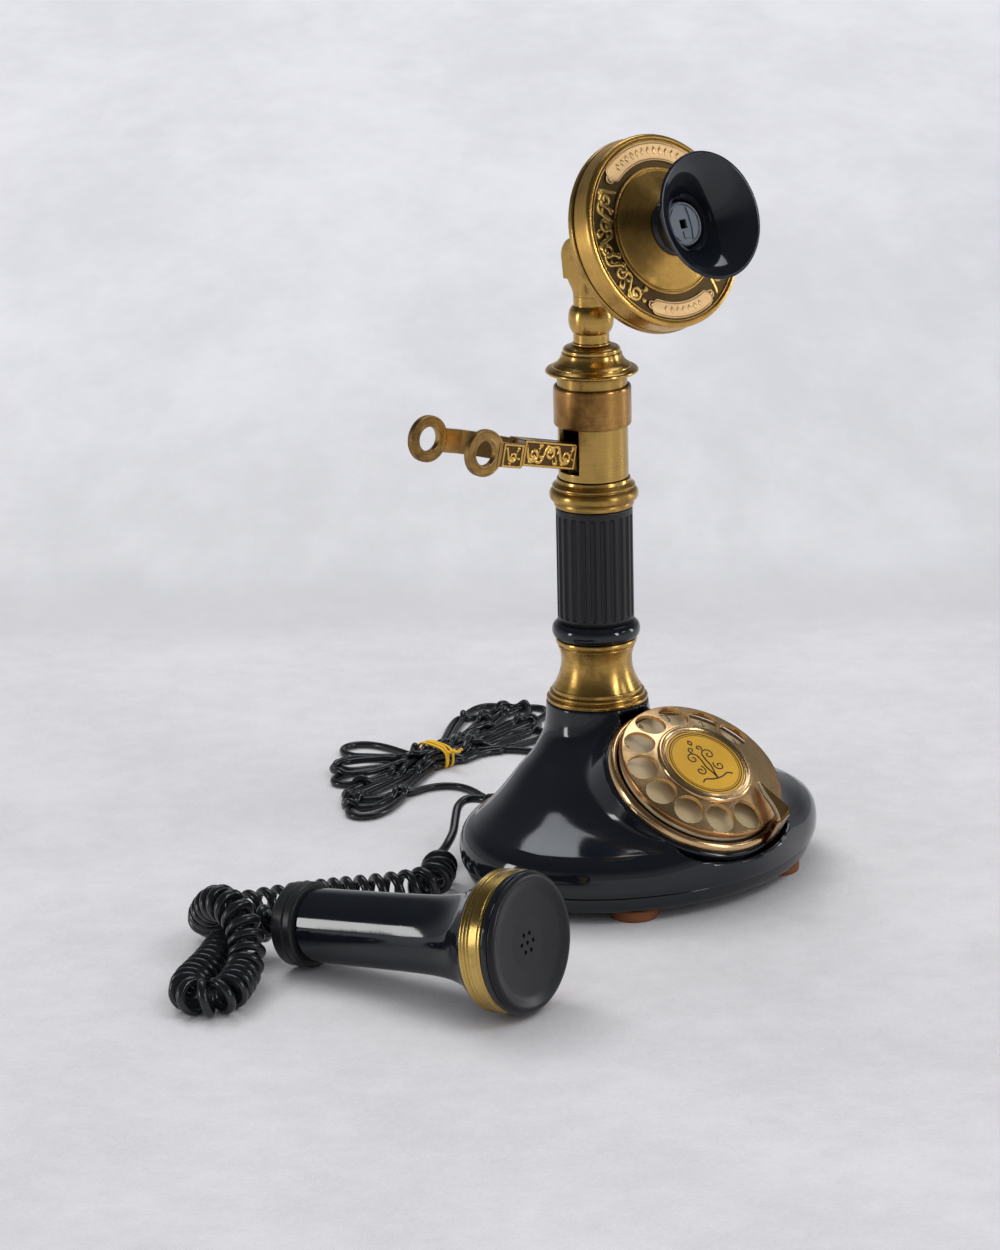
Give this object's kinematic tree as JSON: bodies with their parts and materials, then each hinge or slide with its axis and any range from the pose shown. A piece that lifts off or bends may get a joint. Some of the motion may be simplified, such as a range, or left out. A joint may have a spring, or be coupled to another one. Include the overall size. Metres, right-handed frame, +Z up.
{
  "type": "rotary telephone",
  "caption": "Candlestick rotary telephone with tilting transmitter head, sprung switch hook, finger-wheel dial and separate receiver on a curly cord.",
  "frame": {"origin": "table height, at the centre in X and Y of the stand together with its receiver, without the cords", "axes": "+Z up along the column; -Y towards the caller, where the dial and mouthpiece face; the switch hook and receiver are on the -X side"},
  "size_m": [0.393, 0.3411, 0.3324],
  "materials": {
    "gloss_black": "gloss",
    "satin_black": "satin",
    "cord_black": "gloss",
    "brass": "antique brushed",
    "dial_brass": "antique satin",
    "bell_brass": "plain",
    "steel": "plain",
    "iron": "rough",
    "copper_wire": "enamelled wire",
    "board": "matte",
    "foot": "matte",
    "champagne": "satin",
    "label": "printed",
    "switch_black": "matte",
    "clear_plastic": "clear",
    "yellow": "matte"
  },
  "bodies": {
    "stand": {"base_shell": "gloss_black", "bottom_plate": "gloss_black", "foot_1": "foot", "foot_2": "foot", "foot_3": "foot", "foot_4": "foot", "plate_screw_1": "steel", "plate_screw_2": "steel", "base_weight": "iron", "receiver_cord_bush": "satin_black", "line_cord_bush": "satin_black", "gong_1": "bell_brass", "gong_2": "bell_brass", "ringer_frame": "steel", "ringer_coil": "copper_wire", "circuit_board": "board", "lower_ferrule": "brass", "fluted_sleeve": "satin_black", "stepped_collar": "brass", "tie_tube": "steel", "tie_nut": "steel", "switch_tube": "brass", "column_band": "brass", "column_cap": "brass", "neck_stem": "brass", "hook_pivot_pin": "steel", "hook_torsion_spring": "steel", "hook_switch": "switch_black", "tilt_bolt": "steel", "dial_bezel": "dial_brass", "dial_can": "steel", "number_plate": "champagne", "finger_stop": "dial_brass", "dial_return_spring": "steel", "receiver_lead": "cord_black", "curly_cord": "cord_black", "base_lead": "cord_black", "line_cord": "cord_black", "line_cord_hank": "cord_black", "twist_tie": "yellow", "line_plug": "clear_plastic"},
    "dial_rotor": {"finger_wheel": "dial_brass", "label_disc": "label", "dial_shaft": "steel", "drive_gear": "bell_brass"},
    "governor_rotor": {"governor": "bell_brass"},
    "hook": {"hook_lever": "brass"},
    "plunger": {"switch_plunger": "clear_plastic"},
    "head": {"head_rear_cup": "brass", "head_bezel": "brass", "transmitter_capsule": "steel", "mouthpiece": "gloss_black", "mouthpiece_insert": "satin_black"},
    "clapper_arm": {"clapper": "steel"},
    "receiver": {"receiver_body": "gloss_black", "tail_collar": "satin_black", "receiver_band": "brass", "earcap": "satin_black", "receiver_capsule": "steel", "receiver_gland": "cord_black"}
  },
  "joints": [
    {"name": "dial_turn", "type": "hinge", "parent": "stand", "child": "dial_rotor", "pos_m": [0.05757, -0.02539, 0.05587], "axis": [0, -0.5541, 0.8324], "range_deg": [-334, 0], "stiffness_Nm_per_rad": 0.0004, "springref_deg": 11.46},
    {"name": "governor_spin", "type": "hinge", "parent": "stand", "child": "governor_rotor", "pos_m": [0.07687, -0.01874, 0.04588], "axis": [0, -0.5541, 0.8324], "range_deg": [0, 1253]},
    {"name": "hook_hinge", "type": "hinge", "parent": "stand", "child": "hook", "pos_m": [0.05757, 0.04145, 0.185], "axis": [0, 1, 0], "range_deg": [-8, 0], "stiffness_Nm_per_rad": 0.25, "springref_deg": 20.05},
    {"name": "plunger_slide", "type": "slide", "parent": "stand", "child": "plunger", "axis": [0, 0, 1], "range_m": [0, 0.0005]},
    {"name": "head_tilt", "type": "hinge", "parent": "stand", "child": "head", "pos_m": [0.05757, 0.04145, 0.2755], "axis": [1, 0, 0], "range_deg": [-20, 18]},
    {"name": "clapper_swing", "type": "hinge", "parent": "stand", "child": "clapper_arm", "pos_m": [0.05757, 0.06345, 0.033], "axis": [0, 0, 1], "range_deg": [-18, 18], "stiffness_Nm_per_rad": 0.0005},
    {"name": "receiver_lift", "type": "slide", "parent": "stand", "child": "receiver", "axis": [0, 0, 1], "range_m": [0, 0.12]}
  ],
  "couplings": [
    {"joint": "governor_spin", "follows": "dial_turn", "ratio": -3.75},
    {"joint": "plunger_slide", "follows": "hook_hinge", "m_per_rad": -0.00358}
  ]
}
